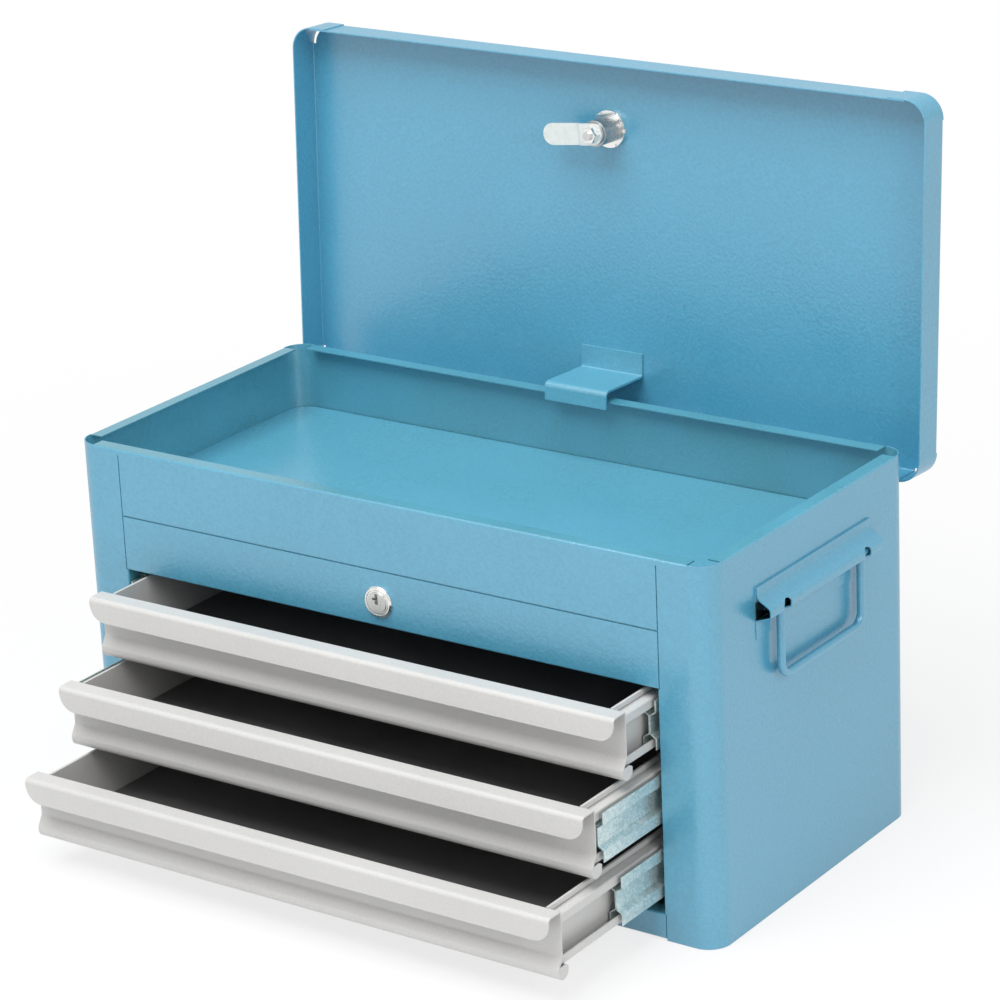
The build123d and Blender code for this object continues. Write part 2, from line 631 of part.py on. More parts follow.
def lock_housing():
    """Threaded barrel with a grooved bezel; z = 0 is the outer face of the sheet it sits in."""
    rim = LOCK_BEZEL_RADIUS
    bore = PLUG_RADIUS + PLUG_CLEARANCE
    slope = LOCK_BEZEL_RISE / 2
    inner, outer, deep = BEZEL_GROOVE
    points = [(bore, -LOCK_BEZEL_RISE), (inner, -LOCK_BEZEL_RISE), (inner, deep - LOCK_BEZEL_RISE)]
    points += [(outer, deep - LOCK_BEZEL_RISE), (outer, -LOCK_BEZEL_RISE)]
    points += [(rim - slope, -LOCK_BEZEL_RISE), (rim, -slope), (rim, 0)]
    points += [(LOCK_BODY_RADIUS, 0), (LOCK_BODY_RADIUS, LOCK_BODY_LENGTH)]
    points.append((bore, LOCK_BODY_LENGTH))
    return turned(points)


def lock_plug():
    """Turning plug with its key slot and the tail that carries the cam."""
    head = -PLUG_PROUD
    tail_end = CAM_SEAT + CAM_THICKNESS + CAM_NUT_HEIGHT + TAIL_PROUD
    points = [(0, head), (PLUG_RADIUS, head), (PLUG_RADIUS, CAM_SEAT)]
    points += [(PLUG_TAIL_RADIUS, CAM_SEAT), (PLUG_TAIL_RADIUS, tail_end), (0, tail_end)]
    wide, tall, deep = KEY_SLOT
    slot = Pos(0, -wide, head) * Box(wide, tall, 2 * deep)
    notch_wide, notch_tall = KEY_NOTCH
    notch = Pos(-wide / 2, -wide, head) * Box(notch_wide, notch_tall, 2 * deep)
    return turned(points) - slot - notch


def lock_cam(length, width):
    """Cam pointing along -X from the tail, stepped towards the sheet past its hub."""
    step = CAM_CRANK_START + CAM_CRANK_RUN
    low = CAM_SEAT - CAM_CRANK
    path = [(width, CAM_SEAT), (-CAM_CRANK_START, CAM_SEAT), (-step, low), (-length, low)]
    band = along_y(sheet_face(path, CAM_BEND, CAM_THICKNESS), -width, width)
    reach = length - width / 2
    plan = Pos(-reach / 2, 0) * SlotCenterToCenter(reach, width) - Circle(PLUG_TAIL_RADIUS)
    return band & along_z(plan, 0, 2 * CAM_SEAT)


def cam_nut():
    """Hexagon nut that holds the cam on the tail."""
    hexagon = RegularPolygon(CAM_NUT_FLATS / 2, 6, major_radius=False) - Circle(PLUG_TAIL_RADIUS)
    return extrude(Pos(0, 0, CAM_SEAT + CAM_THICKNESS) * hexagon, amount=CAM_NUT_HEIGHT)


def lock_nut():
    """Hexagon nut behind the lock rail."""
    hexagon = RegularPolygon(LOCK_NUT_FLATS / 2, 6, major_radius=False) - Circle(LOCK_BODY_RADIUS)
    return extrude(Pos(0, 0, SHEET) * hexagon, amount=LOCK_NUT_HEIGHT)


def ring_nut():
    """Round nut with notches in its rim, under the lid panel."""
    ring = extrude(Pos(0, 0, SHEET) * (Circle(RING_NUT_RADIUS) - Circle(LOCK_BODY_RADIUS)),
                   amount=RING_NUT_HEIGHT)
    wide, deep = RING_NUT_NOTCH
    notch = Pos(RING_NUT_RADIUS, 0, SHEET + RING_NUT_HEIGHT) * Box(2 * deep, wide, 2 * deep)
    for number in range(RING_NUT_NOTCHES):
        ring -= Rot(0, 0, number * 360 / RING_NUT_NOTCHES) * notch
    return ring


def drawer_lock_place():
    """Where the drawer lock sits: z into the box, x across it."""
    return Plane((0, FRONT, OPENING_TOP + DRAWER_LOCK_RISE), (1, 0, 0), (0, 1, 0))


def lid_lock_place():
    """Where the lid lock sits with the lid shut: z down into the tray."""
    return Plane((0, LID_LOCK_Y, LID_TOP), (1, 0, 0), (0, 0, -1))


# ---------------------------------------------------------------- handles
def handle_backing():
    """Plate welded to the side wall under the hood."""
    half = HANDLE_LENGTH / 2
    return block((HALF, HALF + BACKING_SHEET), (-half, half),
                 (HANDLE_TOP - BACKING_HEIGHT, HANDLE_TOP))


def handle_hood():
    """Hood folded out from the plate and back under the bail's ends, slotted for its legs."""
    face = HALF + BACKING_SHEET + HOOD_SHEET
    lip = HALF + HOOD_STANDOFF
    foot = HALF + BACKING_SHEET + HOOD_SHEET / 2
    path = [(face, HANDLE_TOP), (face, HANDLE_TOP - HOOD_FLANGE), (lip, HOOD_LIP_TOP)]
    path += [(lip, HOOD_LIP_BOTTOM), (foot, HOOD_LIP_BOTTOM - HOOD_FLOOR_DROP)]
    section = sheet_face(path, HOOD_BENDS, HOOD_SHEET)
    hood = along_y(section, -HANDLE_LENGTH / 2, HANDLE_LENGTH / 2)
    low = HOOD_LIP_BOTTOM - HOOD_FLOOR_DROP - HOOD_SHEET
    round_z = bail_axis_height() + BAIL_SLOT_RISE
    slot_half = BAIL_SLOT_WIDTH / 2
    inner = BAIL_X - BAIL_WIRE_RADIUS - 2 * RUNNING_GAP
    for leg in (-BAIL_LEG_SPACING / 2, BAIL_LEG_SPACING / 2):
        hood -= block((inner, lip + HOOD_SHEET), (leg - slot_half, leg + slot_half), (low, round_z))
        top = Pos(lip, leg, round_z) * Cylinder(slot_half, 2 * HOOD_SHEET, rotation=(0, 90, 0))
        hood -= top + Pos(-2 * HOOD_SHEET, 0, 0) * top
    return hood


def bail_axis_height():
    """Height of the bail's ends where they lie on the hood's sloping floor."""
    run = HOOD_STANDOFF - BACKING_SHEET - HOOD_SHEET / 2
    slope = HOOD_FLOOR_DROP / run
    along = math.hypot(1, slope)
    floor = HOOD_LIP_BOTTOM - (HOOD_STANDOFF - BAIL_STANDOFF) * slope
    return floor + (HOOD_SHEET + BAIL_WIRE_RADIUS + RUNNING_GAP) * along


def bail():
    """Wire bail hanging from its two ends, which lie under the hood."""
    high = bail_axis_height()
    low = high - BAIL_DROP
    leg = BAIL_LEG_SPACING / 2
    end = leg + BAIL_TRUNNION
    points = [(BAIL_X, -end, high), (BAIL_X, -leg, high), (BAIL_X, -leg, low)]
    points += [(BAIL_X, leg, low), (BAIL_X, leg, high), (BAIL_X, end, high)]
    radii = [BAIL_ELBOW_RADIUS, BAIL_CORNER_RADIUS, BAIL_CORNER_RADIUS, BAIL_ELBOW_RADIUS]
    path = FilletPolyline(*points, radius=radii)
    start = Plane(points[0], z_dir=(0, 1, 0))
    return sweep(start * Circle(BAIL_WIRE_RADIUS), path=path)


# ---------------------------------------------------------------- the whole box
def cabinet_nodes():
    """The pieces that are welded or screwed to the cabinet."""
    place = drawer_lock_place()
    nodes = {
        "upper_fascia": upper_fascia(), "lock_rail": lock_rail(),
        "front_bottom_rail": front_bottom_rail(), "back_panel": back_panel(),
        "tray_floor": tray_floor(), "bottom_pan": bottom_pan(),
        "hinge_body_leaf": hinge_body_leaf(), "hinge_pin": hinge_pin(),
        "drawer_lock_housing": place * lock_housing(), "drawer_lock_nut": place * lock_nut(),
    }
    paired = {"side_wrap": side_wrap(), "slide_panel": slide_panel(),
              "handle_backing": handle_backing(), "handle_hood": handle_hood(), "bail": bail()}
    for name, piece in paired.items():
        nodes["right_" + name] = piece
        nodes["left_" + name] = left_of_box(piece)
    return nodes


def lid_nodes():
    """Everything on the lid, swung open to its stop."""
    place = lid_lock_place()
    key = Rot(0, 0, LID_CAM_TILT)
    shut = {
        "lid_shell": lid_shell(), "hinge_lid_leaf": hinge_lid_leaf(),
        "lid_stop_hook": lid_stop_hook(), "lid_lock_housing": place * lock_housing(),
        "lid_lock_nut": place * ring_nut(), "lid_lock_plug": place * (key * lock_plug()),
        "lid_lock_cam": place * (key * lock_cam(LID_CAM_LENGTH, LID_CAM_WIDTH)),
        "lid_lock_cam_nut": place * (key * cam_nut()),
    }
    return {name: piece.rotate(HINGE_AXIS, -LID_OPEN_ANGLE) for name, piece in shut.items()}


def drawer_lock_nodes():
    """The turning pieces of the drawer lock, with the cam lying level."""
    place = drawer_lock_place()
    return {
        "drawer_lock_plug": place * lock_plug(),
        "drawer_lock_cam": place * lock_cam(DRAWER_CAM_LENGTH, DRAWER_CAM_WIDTH),
        "drawer_lock_cam_nut": place * cam_nut(),
    }


def drawer_nodes(number, name):
    """One drawer, its slide members and the runners they run in."""
    top = LOWEST_DRAWER_TOP + number * DRAWER_PITCH
    drawn = Pos(0, -DRAWER_OPEN[name], 0)
    slid = Pos(0, -SLIDE_OPEN[name], 0)
    runner = cabinet_runner(top)
    member = slid * slide_member(top)
    return {
        f"{name}_drawer_box": drawn * drawer_box(top),
        f"{name}_drawer_front": drawn * drawer_front(top),
        f"{name}_drawer_liner": drawn * drawer_liner(top),
        f"right_{name}_cabinet_runner": runner,
        f"left_{name}_cabinet_runner": left_of_box(runner),
        f"right_{name}_slide_member": member,
        f"left_{name}_slide_member": left_of_box(member),
    }


nodes = cabinet_nodes() | lid_nodes() | drawer_lock_nodes()
for number, name in enumerate(DRAWER_NAMES):
    nodes |= drawer_nodes(number, name)

os.makedirs("parts", exist_ok=True)
for name, piece in nodes.items():
    export_step(piece, f"parts/{name}.step")
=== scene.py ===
import math

import bpy
from mathutils import Matrix, Vector


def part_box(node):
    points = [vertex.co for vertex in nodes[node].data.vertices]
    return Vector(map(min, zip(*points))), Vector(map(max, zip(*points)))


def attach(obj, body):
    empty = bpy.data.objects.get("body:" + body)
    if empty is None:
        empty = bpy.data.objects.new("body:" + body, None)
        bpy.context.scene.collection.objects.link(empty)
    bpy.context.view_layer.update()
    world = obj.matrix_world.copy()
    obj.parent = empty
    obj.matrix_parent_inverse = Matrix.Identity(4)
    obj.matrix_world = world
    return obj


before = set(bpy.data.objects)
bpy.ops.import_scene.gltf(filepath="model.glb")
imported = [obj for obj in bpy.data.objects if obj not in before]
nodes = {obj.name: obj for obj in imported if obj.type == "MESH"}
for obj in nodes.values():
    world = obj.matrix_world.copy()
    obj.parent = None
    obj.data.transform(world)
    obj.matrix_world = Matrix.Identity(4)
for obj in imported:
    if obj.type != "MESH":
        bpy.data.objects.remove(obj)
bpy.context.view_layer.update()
scene = bpy.context.scene
scene.view_settings.view_transform = "Standard"
bpy.ops.object.select_all(action="DESELECT")

# ---------------------------------------------------------------- the studio table
# The box stands on a wide white table in an evenly lit studio, photographed with a long lens
# from above its front right corner. The table keeps a soft shadow under the box.
TABLE_SIZE = 30.0
TABLE_DROP = 0.0004
TABLE_COLOUR = (0.85, 0.85, 0.85, 1)
TABLE_ROUGHNESS = 0.9
TABLE_SPECULAR = 0.1
# Share of plain white in the paper near the box and far from it, and how far off it changes
TABLE_GLOW = (0.76, 1.0)
TABLE_FADE = (0.45, 1.2)
ROOM_LIGHT = 0.50


def wire(tree, source, target):
    """Join an output to an input."""
    tree.links.new(source, target)


def add(tree, kind, sockets=None, **settings):
    """A shader node of one kind; `sockets` holds a plain value or an output for each input."""
    made = tree.nodes.new("ShaderNode" + kind)
    for name, value in settings.items():
        setattr(made, name, value)
    for name, value in (sockets or {}).items():
        if isinstance(value, bpy.types.NodeSocket):
            wire(tree, value, made.inputs[name])
        else:
            made.inputs[name].default_value = value
    return made


def maths(tree, operation, first, second):
    """The result of one sum on two values."""
    return add(tree, "Math", {0: first, 1: second}, operation=operation).outputs[0]


def ramp(tree, value, low, high, start=0.0, end=1.0):
    """The value between low and high, stretched to run from start to end."""
    made = add(tree, "MapRange", {"Value": value, "From Min": low, "From Max": high,
                                  "To Min": start, "To Max": end})
    return made.outputs["Result"]


def seen_plainly(tree):
    """1 where the eye, a reflection or clear material looks straight at this."""
    rays = add(tree, "LightPath").outputs
    first = maths(tree, "MAXIMUM", rays["Is Camera Ray"], rays["Is Glossy Ray"])
    return maths(tree, "MAXIMUM", first, rays["Is Transmission Ray"])


bpy.ops.mesh.primitive_plane_add(size=TABLE_SIZE, location=(0, 0, -TABLE_DROP))
table = bpy.context.object
table.name = "studio_table"
table_paper = bpy.data.materials.new("table_paper")
table_paper.use_nodes = True
paper = table_paper.node_tree
paper_shader = paper.nodes["Principled BSDF"]
paper_shader.inputs["Base Color"].default_value = TABLE_COLOUR
paper_shader.inputs["Roughness"].default_value = TABLE_ROUGHNESS
paper_shader.inputs["Specular IOR Level"].default_value = TABLE_SPECULAR
paper_place = add(paper, "TexCoord").outputs["Object"]
paper_reach = add(paper, "VectorMath", {0: paper_place}, operation="LENGTH").outputs["Value"]
paper_fade = ramp(paper, paper_reach, *TABLE_FADE, *TABLE_GLOW)
paper_glow = maths(paper, "MULTIPLY", seen_plainly(paper), paper_fade)
paper_mix = add(paper, "MixShader", {0: paper_glow, 1: paper_shader.outputs[0],
                                     2: add(paper, "Emission").outputs[0]})
wire(paper, paper_mix.outputs[0], paper.nodes["Material Output"].inputs["Surface"])
table.data.materials.append(table_paper)

studio = bpy.data.worlds.new("white_studio")
studio.use_nodes = True
room = studio.node_tree
room_light = room.nodes["Background"]
room_light.inputs["Color"].default_value = (1, 1, 1, 1)
room_light.inputs["Strength"].default_value = ROOM_LIGHT
backdrop = add(room, "Background", {"Strength": 1.0})
room_mix = add(room, "MixShader", {0: seen_plainly(room), 1: room_light.outputs[0],
                                   2: backdrop.outputs[0]})
wire(room, room_mix.outputs[0], room.nodes["World Output"].inputs["Surface"])
scene.world = studio

# Softboxes: place, size in metres and power in watts
SOFTBOXES = {
    "overhead_softbox": ((-0.10, -1.18, 2.75), 2.2, 79),
    "right_softbox": ((2.5, -1.0, 1.6), 1.4, 21),
}
LIT_POINT = Vector((0, 0, 0.2))
for name, (place, size, power) in SOFTBOXES.items():
    bpy.ops.object.light_add(type="AREA", location=place)
    lamp = bpy.context.object
    lamp.name = name
    lamp.data.size = size
    lamp.data.energy = power
    lamp.rotation_euler = (LIT_POINT - Vector(place)).to_track_quat("-Z", "Y").to_euler()

CAMERA_AZIMUTH = math.radians(35.67)
CAMERA_ELEVATION = math.radians(20.08)
CAMERA_ROLL = math.radians(-2.60)
CAMERA_DISTANCE = 2.442
CAMERA_TARGET = Vector((0.0455, -0.04795, 0.2414))
# Millimetres
CAMERA_LENS = 136.3
CAMERA_SENSOR = 36
level = math.cos(CAMERA_ELEVATION)
towards = Vector((math.sin(CAMERA_AZIMUTH) * level, -math.cos(CAMERA_AZIMUTH) * level,
                  math.sin(CAMERA_ELEVATION)))
camera_right = Vector((0, 0, 1)).cross(towards).normalized()
camera_up = towards.cross(camera_right)
rolled_right = camera_right * math.cos(CAMERA_ROLL) + camera_up * math.sin(CAMERA_ROLL)
rolled_up = towards.cross(rolled_right)
turn = Matrix((rolled_right, rolled_up, towards)).transposed()
bpy.ops.object.camera_add(location=CAMERA_TARGET + towards * CAMERA_DISTANCE)
camera = bpy.context.object
camera.rotation_euler = turn.to_euler()
camera.data.lens = CAMERA_LENS
camera.data.sensor_width = CAMERA_SENSOR
scene.camera = camera

# ---------------------------------------------------------------- cabinet
# The cabinet is folded from cold-rolled steel sheet under a millimetre thick and spot-welded
# along its laps. It is dipped, then sprayed in a light blue stoving paint: glossy, a little
# cloudy, with the fine dimples of orange peel over every face.
SHEET = 0.0009
CORNER_RADIUS = 0.016
BLUE = (0.072, 0.320, 0.478)
# Paler where the coat lies thinner in clouds, and a painted highlight on the sheet's edges
BLUE_CLOUD_AND_EDGE_HIGHLIGHT = (0.092, 0.366, 0.530)
# Painted shade on the inner faces of the tray's walls, and a lighter, greener painted light on its
# floor and on the lid's bracket
BLUE_WALL_SHADE = (0.070, 0.275, 0.352)
BLUE_PAINTED_LIGHTER = (0.102, 0.350, 0.466)
# Pitch and depth of the dimples, and how far a pit's colour differs
BLUE_DIMPLES = (0.0021, 0.00017, 0.055)
# Roughness where the coat is full and where it lies thin
BLUE_GLOSS = (0.24, 0.34)
BLUE_SPECULAR = 1.0
BLUE_INDEX = 1.6
# Detail and roughness of the noise, and the part of it that counts
DIMPLE_NOISE = (1.6, 0.5)
DIMPLE_SPREAD = (0.35, 0.65)
CLOUD_SIZE = 0.09
CLOUD_NOISE = (3.0, 0.55)
CLOUD_SPREAD = (0.3, 0.7)
CLOUD_THINNING = 0.5
EDGE_ROUNDING = 0.00025
EDGE_SAMPLES = 4
# Cosine of the turn between a face and its rounded edge, where the painted highlight starts and
# where it is full
EDGE_TURN = (0.98, 0.80)
# A bound that no point of the box reaches
FAR_OFF = 10


def new_group(name, inputs, outputs):
    """An empty shader group: inputs are (name, kind, start value), outputs (name, kind)."""
    tree = bpy.data.node_groups.new(name, "ShaderNodeTree")
    for label, kind, start in inputs:
        socket = tree.interface.new_socket(label, in_out="INPUT", socket_type="NodeSocket" + kind)
        if start is not None:
            socket.default_value = start
    for label, kind in outputs:
        tree.interface.new_socket(label, in_out="OUTPUT", socket_type="NodeSocket" + kind)
    return tree, tree.nodes.new("NodeGroupInput").outputs, tree.nodes.new("NodeGroupOutput").inputs


def mixed(tree, share, first, second):
    """A colour between two colours."""
    made = add(tree, "Mix", {0: share, 6: first, 7: second}, data_type="RGBA")
    return made.outputs[2]


def noise(tree, place, scale, detail=2.0, roughness=0.5):
    """Smooth noise from 0 to 1."""
    made = add(tree, "TexNoise", {"Vector": place, "Scale": scale, "Detail": detail,
                                  "Roughness": roughness})
    return made.outputs["Fac"]


# Sprayed paint: the dimples of its skin and slow clouds of thickness.
paint_skin, skin_in, skin_out = new_group(
    "paint_skin",
    [("Vector", "Vector", None), ("Dimple Pitch", "Float", BLUE_DIMPLES[0]),
     ("Cloud Size", "Float", CLOUD_SIZE)],
    [("Height", "Float"), ("Cloud", "Float")])
dimple_scale = maths(paint_skin, "DIVIDE", 1.0, skin_in["Dimple Pitch"])
cloud_scale = maths(paint_skin, "DIVIDE", 1.0, skin_in["Cloud Size"])
wire(paint_skin, noise(paint_skin, skin_in["Vector"], dimple_scale, *DIMPLE_NOISE),
     skin_out["Height"])
wire(paint_skin, noise(paint_skin, skin_in["Vector"], cloud_scale, *CLOUD_NOISE),
     skin_out["Cloud"])

# A sheet's cut or folded edge, rounded over by the paint or the plating; its mask lightens the
# paint there as a painted highlight.
soft_edge, edge_in, edge_out = new_group("soft_edge", [("Rounding", "Float", EDGE_ROUNDING)],
                                         [("Normal", "Vector"), ("Edge", "Float")])
rounded_over = add(soft_edge, "Bevel", {"Radius": edge_in["Rounding"]}, samples=EDGE_SAMPLES)
true_face = add(soft_edge, "NewGeometry")
facing = add(soft_edge, "VectorMath", {0: rounded_over.outputs[0], 1: true_face.outputs["Normal"]},
             operation="DOT_PRODUCT")
wire(soft_edge, rounded_over.outputs[0], edge_out["Normal"])
wire(soft_edge, ramp(soft_edge, facing.outputs["Value"], *EDGE_TURN), edge_out["Edge"])

# The inside of the open tray: 1 on the inner side of the walls' sheet and 0 on its outer side, by
# the distance from the centre of the rounded corners.
tray_inside, tray_in, tray_out = new_group("tray_inside", [("Vector", "Vector", None)],
                                           [("Mask", "Float")])
wall_x, wall_y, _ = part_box("right_side_wrap")[1]
from_middle = add(tray_inside, "VectorMath", {0: tray_in["Vector"]}, operation="ABSOLUTE")
past_straight = add(tray_inside, "VectorMath", {
    0: from_middle.outputs[0],
    1: (wall_x - CORNER_RADIUS, wall_y - CORNER_RADIUS, FAR_OFF)}, operation="SUBTRACT")
past_corner = add(tray_inside, "VectorMath", {0: past_straight.outputs[0], 1: (0, 0, 0)},
                  operation="MAXIMUM")
from_corner = add(tray_inside, "VectorMath", {0: past_corner.outputs[0]}, operation="LENGTH")
wire(tray_inside, ramp(tray_inside, from_corner.outputs["Value"], CORNER_RADIUS - SHEET / 2,
                       CORNER_RADIUS - 3 * SHEET / 4), tray_out["Mask"])


def new_finish(name, roughness, metallic=0.0, index=1.5, specular=0.5):
    """A material with its plain values set; returns it, its tree, its shader and its place."""
    made = bpy.data.materials.new(name)
    made.use_nodes = True
    tree = made.node_tree
    shader = tree.nodes["Principled BSDF"]
    shader.inputs["Roughness"].default_value = roughness
    shader.inputs["Metallic"].default_value = metallic
    shader.inputs["IOR"].default_value = index
    shader.inputs["Specular IOR Level"].default_value = specular
    return made, tree, shader, add(tree, "TexCoord").outputs["Object"]


def rounded_edges(tree):
    """The normal and the edge mask of a sheet's rounded edges."""
    return add(tree, "Group", {"Rounding": EDGE_ROUNDING}, node_tree=soft_edge).outputs


def relief(tree, height, depth, strength, normal=None):
    """The normal of a face with a height pressed into it, on top of another if one is given."""
    made = add(tree, "Bump", {"Height": height, "Distance": depth, "Strength": strength})
    if normal is not None:
        wire(tree, normal, made.inputs["Normal"])
    return made.outputs[0]


def stoving_paint(name, full, paler_and_highlight, dimples, gloss, specular, index, wall_shade=None):
    """Baked paint, paler in clouds of thinner coat, with a painted highlight on its edges and
    painted shade in the tray.
    """
    made, tree, shader, place = new_finish(name, gloss[0], index=index, specular=specular)
    pitch, depth, tone = dimples
    skin = add(tree, "Group", {"Vector": place, "Dimple Pitch": pitch, "Cloud Size": CLOUD_SIZE},
               node_tree=paint_skin)
    edge = rounded_edges(tree)
    cloud = ramp(tree, skin.outputs["Cloud"], *CLOUD_SPREAD, 0.0, CLOUD_THINNING)
    coat = (*full, 1)
    # Painted shade on the inner faces of the tray's walls
    if wall_shade:
        inside = add(tree, "Group", {"Vector": place}, node_tree=tray_inside)
        coat = mixed(tree, inside.outputs["Mask"], coat, (*wall_shade, 1))
    # Paler in clouds of thinner coat, and a painted highlight on the rounded edges
    cloud_and_edge_highlight = maths(tree, "MAXIMUM", edge["Edge"], cloud)
    colour = mixed(tree, cloud_and_edge_highlight, coat, (*paler_and_highlight, 1))
    pits = ramp(tree, skin.outputs["Height"], *DIMPLE_SPREAD, 1 - tone, 1 + tone)
    speckled = add(tree, "VectorMath", {0: colour, "Scale": pits}, operation="SCALE")
    wire(tree, speckled.outputs[0], shader.inputs["Base Color"])
    wire(tree, ramp(tree, cloud, 0.0, CLOUD_THINNING, *gloss), shader.inputs["Roughness"])
    dimpled = relief(tree, skin.outputs["Height"], depth, 1.0, edge["Normal"])
    wire(tree, dimpled, shader.inputs["Normal"])
    return made


def dress(material, *names):
    """Give CAD nodes a finish."""
    for name in names:
        nodes[name].data.materials.clear()
        nodes[name].data.materials.append(material)


# The cabinet's paint carries a painted shade on the tray's inner walls
blue_paint = stoving_paint("blue_stoving_paint", BLUE, BLUE_CLOUD_AND_EDGE_HIGHLIGHT, BLUE_DIMPLES, BLUE_GLOSS,
                           BLUE_SPECULAR, BLUE_INDEX, BLUE_WALL_SHADE)
# A lighter, greener copy of the blue paint: painted light on the tray floor and the lid's bracket
tray_light_painted = stoving_paint("blue_tray_light_painted", BLUE_PAINTED_LIGHTER, BLUE_CLOUD_AND_EDGE_HIGHLIGHT, BLUE_DIMPLES, BLUE_GLOSS,
                           BLUE_SPECULAR, BLUE_INDEX)
dress(blue_paint, "upper_fascia", "lock_rail", "front_bottom_rail", "back_panel", "bottom_pan")
dress(tray_light_painted, "tray_floor")
for side in ("left", "right"):
    dress(blue_paint, f"{side}_side_wrap", f"{side}_slide_panel")

# ---------------------------------------------------------------- lid
# The lid is one pressed sheet with folded skirts and tongues lapped round its corners, painted
# with the cabinet. A bent bracket spot-welded inside it catches the tray's back rim.
dress(blue_paint, "lid_shell")
# The bracket takes the lighter copy of the blue, a painted light
dress(tray_light_painted, "lid_stop_hook")

# ---------------------------------------------------------------- hinge
# A continuous hinge of zinc-plated strip runs along the back. One leaf is fixed to the cabinet
# with a row of flat-headed rivets, the other is welded inside the lid's rear skirt.
ZINC_DARK = (0.56, 0.69, 0.685)
ZINC_LIGHT = (0.85, 0.92, 0.90)
ZINC_METAL = 0.7
ZINC_GLOSS = (0.3, 0.46)
# Size of a crystal, scale of the mottling against it, its detail and roughness, and its spread
SPANGLE = 0.0015
MOTTLE_SHARE = 0.6
MOTTLE_NOISE = (3.0, 0.65)
MOTTLE_SPREAD = (0.05, 0.6)
# Pitch of the rolled grain, its depth, how strongly it shows, and how far rolling draws it out
STRIP_GRAIN = 0.0006
STRIP_DEPTH = 0.00003
STRIP_RELIEF = 0.35
ROLLED_SCALE = (1, 0.06, 1)
# Scale, detail and roughness of the patches of unlike shine
SHINE_NOISE = (120.0, 3.0, 0.6)

metal_grain, grain_in, grain_out = new_group(
    "metal_grain", [("Vector", "Vector", None), ("Pitch", "Float", STRIP_GRAIN)],
    [("Height", "Float"), ("Shine", "Float")])
grain_scale = maths(metal_grain, "DIVIDE", 1.0, grain_in["Pitch"])
rolled = add(metal_grain, "Mapping", {"Vector": grain_in["Vector"], "Scale": ROLLED_SCALE})
wire(metal_grain, noise(metal_grain, rolled.outputs[0], grain_scale), grain_out["Height"])
wire(metal_grain, noise(metal_grain, grain_in["Vector"], *SHINE_NOISE), grain_out["Shine"])


def zinc_plate(name, dark, light, spangle, gloss):
    """Zinc plating, mottled in crystals of unlike grey, over rolled strip."""
    made, tree, shader, place = new_finish(name, gloss[0], metallic=ZINC_METAL)
    crystals = add(tree, "TexVoronoi", {"Vector": place, "Scale": 1 / spangle})
    tone = add(tree, "SeparateColor", {0: crystals.outputs["Color"]}).outputs[0]
    mottle = noise(tree, place, MOTTLE_SHARE / spangle, *MOTTLE_NOISE)
    light_share = ramp(tree, maths(tree, "MULTIPLY", tone, mottle), *MOTTLE_SPREAD)
    wire(tree, mixed(tree, light_share, (*dark, 1), (*light, 1)), shader.inputs["Base Color"])
    wire(tree, ramp(tree, tone, 0.0, 1.0, *gloss), shader.inputs["Roughness"])
    grain = add(tree, "Group", {"Vector": place, "Pitch": STRIP_GRAIN}, node_tree=metal_grain)
    strip = relief(tree, grain.outputs["Height"], STRIP_DEPTH, STRIP_RELIEF,
                   rounded_edges(tree)["Normal"])
    wire(tree, strip, shader.inputs["Normal"])
    return made


zinc = zinc_plate("mottled_zinc_plate", ZINC_DARK, ZINC_LIGHT, SPANGLE, ZINC_GLOSS)
dress(zinc, "hinge_body_leaf", "hinge_lid_leaf", "hinge_pin")

RIVETS = 8
RIVET_RADIUS = 0.0027
# Half of a rivet's depth lies in the leaf
RIVET_DEPTH = 0.0015
RIVET_EDGE = 0.0006
RIVET_SIDES = 28
RIVET_INSET = 0.022
RIVET_RISE = 0.0085
LEAF_SHEET = 0.001
TO_REAR = (math.radians(-90), 0, 0)
SMOOTH_UNDER = math.radians(35)
SAME_PLACE = 0.00001

leaf_low, leaf_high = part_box("hinge_body_leaf")
rivet_step = (leaf_high[0] - leaf_low[0] - 2 * RIVET_INSET) / (RIVETS - 1)
bpy.ops.mesh.primitive_cylinder_add(vertices=RIVET_SIDES, radius=RIVET_RADIUS, depth=RIVET_DEPTH)
rivet = bpy.context.object
bpy.ops.object.mode_set(mode="EDIT")
bpy.ops.mesh.select_mode(type="FACE")
bpy.ops.mesh.select_all(action="DESELECT")
bpy.ops.object.mode_set(mode="OBJECT")
for face in rivet.data.polygons:
    face.select = face.center.z > RIVET_DEPTH / 2 - SAME_PLACE
bpy.ops.object.mode_set(mode="EDIT")
bpy.ops.mesh.inset(thickness=RIVET_EDGE)
bpy.ops.transform.translate(value=(0, 0, RIVET_EDGE / 2))
bpy.ops.mesh.bevel(offset=RIVET_EDGE / 3, segments=2, affect="EDGES")
bpy.ops.object.mode_set(mode="OBJECT")
rivet.rotation_euler = TO_REAR
rivet.location = (leaf_low[0] + RIVET_INSET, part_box("back_panel")[1][1] + LEAF_SHEET,
                  leaf_low[2] + RIVET_RISE)

rivet_row = [rivet]
for _ in range(RIVETS - 1):
    bpy.ops.object.duplicate()
    bpy.context.object.location.x += rivet_step
    rivet_row.append(bpy.context.object)
for head in rivet_row:
    head.select_set(True)
bpy.context.view_layer.objects.active = rivet
bpy.ops.object.join()
rivet.name = "hinge_body_rivets"
bpy.ops.object.transform_apply(location=True, rotation=True, scale=True)
bpy.ops.object.mode_set(mode="EDIT")
bpy.ops.mesh.select_all(action="SELECT")
bpy.ops.mesh.remove_doubles(threshold=SAME_PLACE)
bpy.ops.mesh.normals_make_consistent(inside=False)
bpy.ops.object.mode_set(mode="OBJECT")
bpy.ops.object.shade_smooth_by_angle(angle=SMOOTH_UNDER)
rivet.data.materials.append(zinc)
rivet.select_set(False)
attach(rivet, "cabinet")

